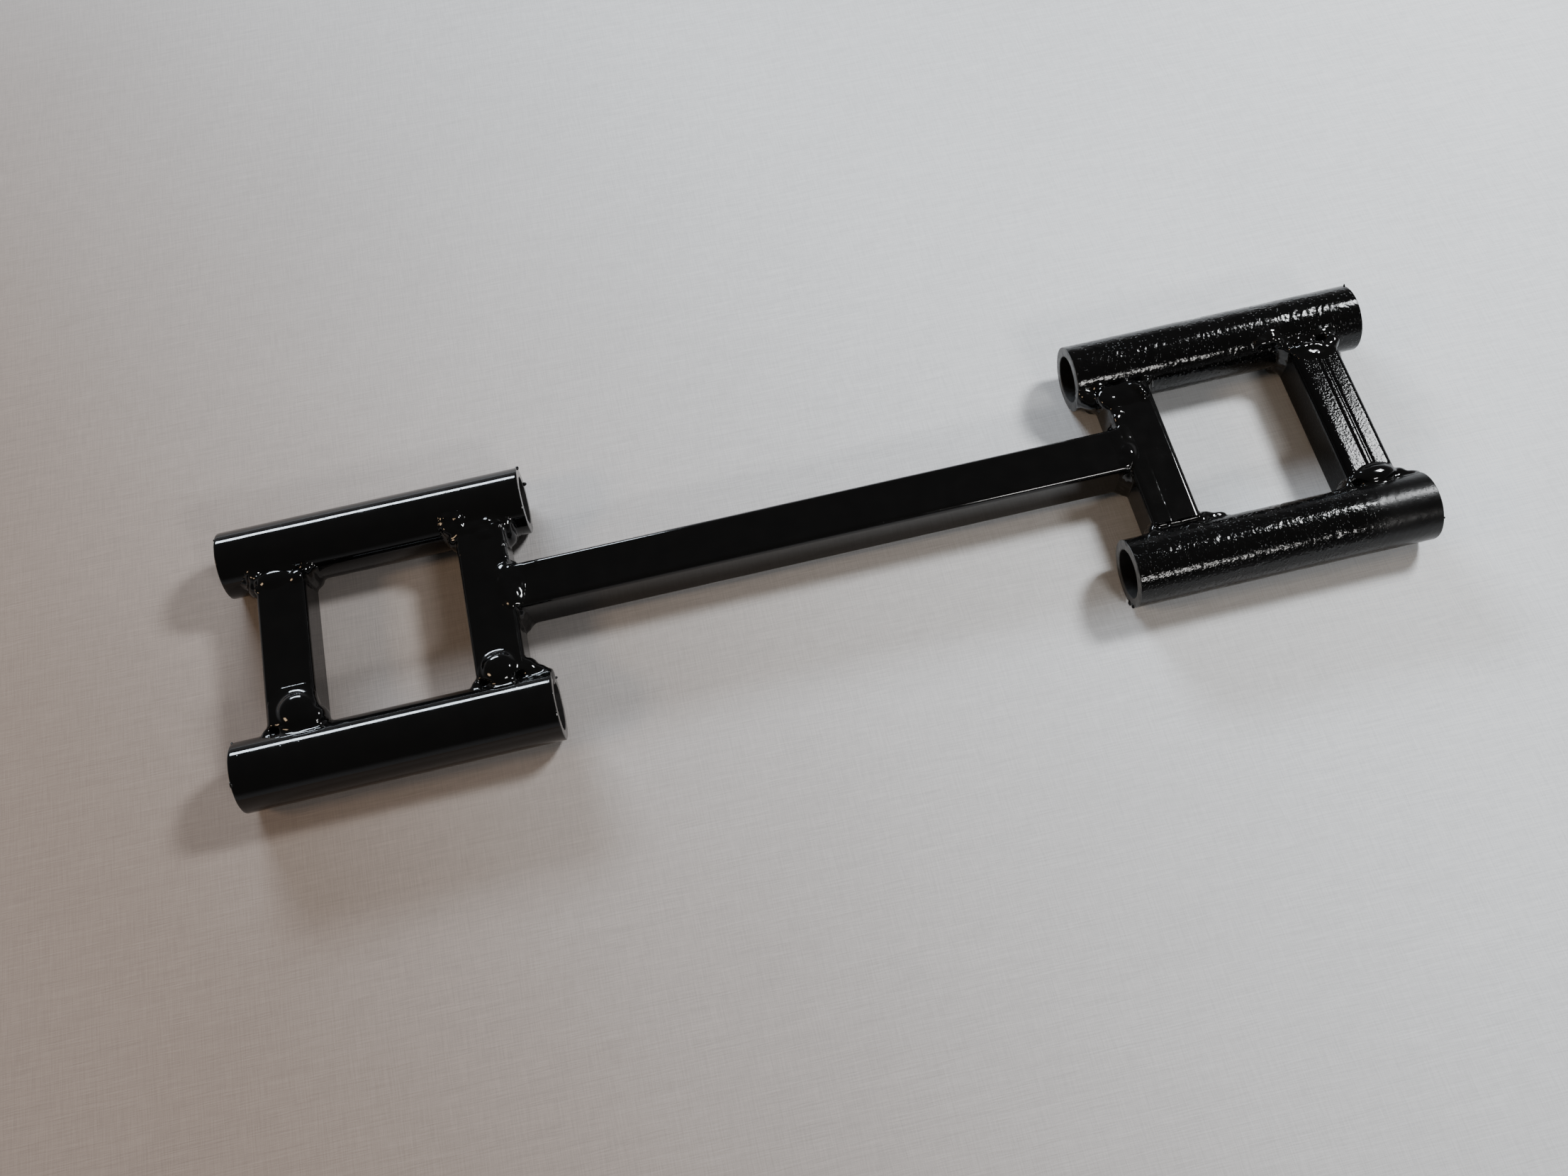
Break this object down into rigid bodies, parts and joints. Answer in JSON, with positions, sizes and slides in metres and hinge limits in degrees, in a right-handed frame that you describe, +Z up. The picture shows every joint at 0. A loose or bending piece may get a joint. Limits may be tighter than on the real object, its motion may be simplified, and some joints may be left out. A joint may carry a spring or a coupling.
{
  "type": "weight distribution hitch tie frame",
  "caption": "Welded tie frame: two box frames, each of parallel pipe sleeves and square crossbars, joined by a square centre bar, all gloss black.",
  "frame": {"origin": "middle of the plan, on the surface that the four sleeves rest on", "axes": "+X along the centre bar towards the right box frame, +Y towards the rear sleeves, +Z up"},
  "size_m": [0.4622, 0.1156, 0.0267],
  "materials": {
    "sleeve_paint": "gloss black paint over pipe, thin and pitted in places",
    "bar_paint": "gloss black paint over square tube",
    "weld_paint": "gloss black paint over lumpy weld metal"
  },
  "bodies": {
    "root": {"centre_bar": "bar_paint", "crossbar_left_inner": "bar_paint", "crossbar_left_outer": "bar_paint", "crossbar_right_inner": "bar_paint", "crossbar_right_outer": "bar_paint", "sleeve_left_front": "sleeve_paint", "sleeve_left_rear": "sleeve_paint", "sleeve_right_front": "sleeve_paint", "sleeve_right_rear": "sleeve_paint", "weld_centre_left_bottom": "weld_paint", "weld_centre_left_front": "weld_paint", "weld_centre_left_rear": "weld_paint", "weld_centre_left_top": "weld_paint", "weld_centre_right_bottom": "weld_paint", "weld_centre_right_front": "weld_paint", "weld_centre_right_rear": "weld_paint", "weld_centre_right_top": "weld_paint", "weld_left_inner_front_bottom": "weld_paint", "weld_left_inner_front_inboard": "weld_paint", "weld_left_inner_front_outboard": "weld_paint", "weld_left_inner_front_top": "weld_paint", "weld_left_inner_rear_bottom": "weld_paint", "weld_left_inner_rear_inboard": "weld_paint", "weld_left_inner_rear_outboard": "weld_paint", "weld_left_inner_rear_top": "weld_paint", "weld_left_outer_front_bottom": "weld_paint", "weld_left_outer_front_inboard": "weld_paint", "weld_left_outer_front_outboard": "weld_paint", "weld_left_outer_front_top": "weld_paint", "weld_left_outer_rear_bottom": "weld_paint", "weld_left_outer_rear_inboard": "weld_paint", "weld_left_outer_rear_outboard": "weld_paint", "weld_left_outer_rear_top": "weld_paint", "weld_right_inner_front_bottom": "weld_paint", "weld_right_inner_front_inboard": "weld_paint", "weld_right_inner_front_outboard": "weld_paint", "weld_right_inner_front_top": "weld_paint", "weld_right_inner_rear_bottom": "weld_paint", "weld_right_inner_rear_inboard": "weld_paint", "weld_right_inner_rear_outboard": "weld_paint", "weld_right_inner_rear_top": "weld_paint", "weld_right_outer_front_bottom": "weld_paint", "weld_right_outer_front_inboard": "weld_paint", "weld_right_outer_front_outboard": "weld_paint", "weld_right_outer_front_top": "weld_paint", "weld_right_outer_rear_bottom": "weld_paint", "weld_right_outer_rear_inboard": "weld_paint", "weld_right_outer_rear_outboard": "weld_paint", "weld_right_outer_rear_top": "weld_paint"}
  },
  "joints": []
}
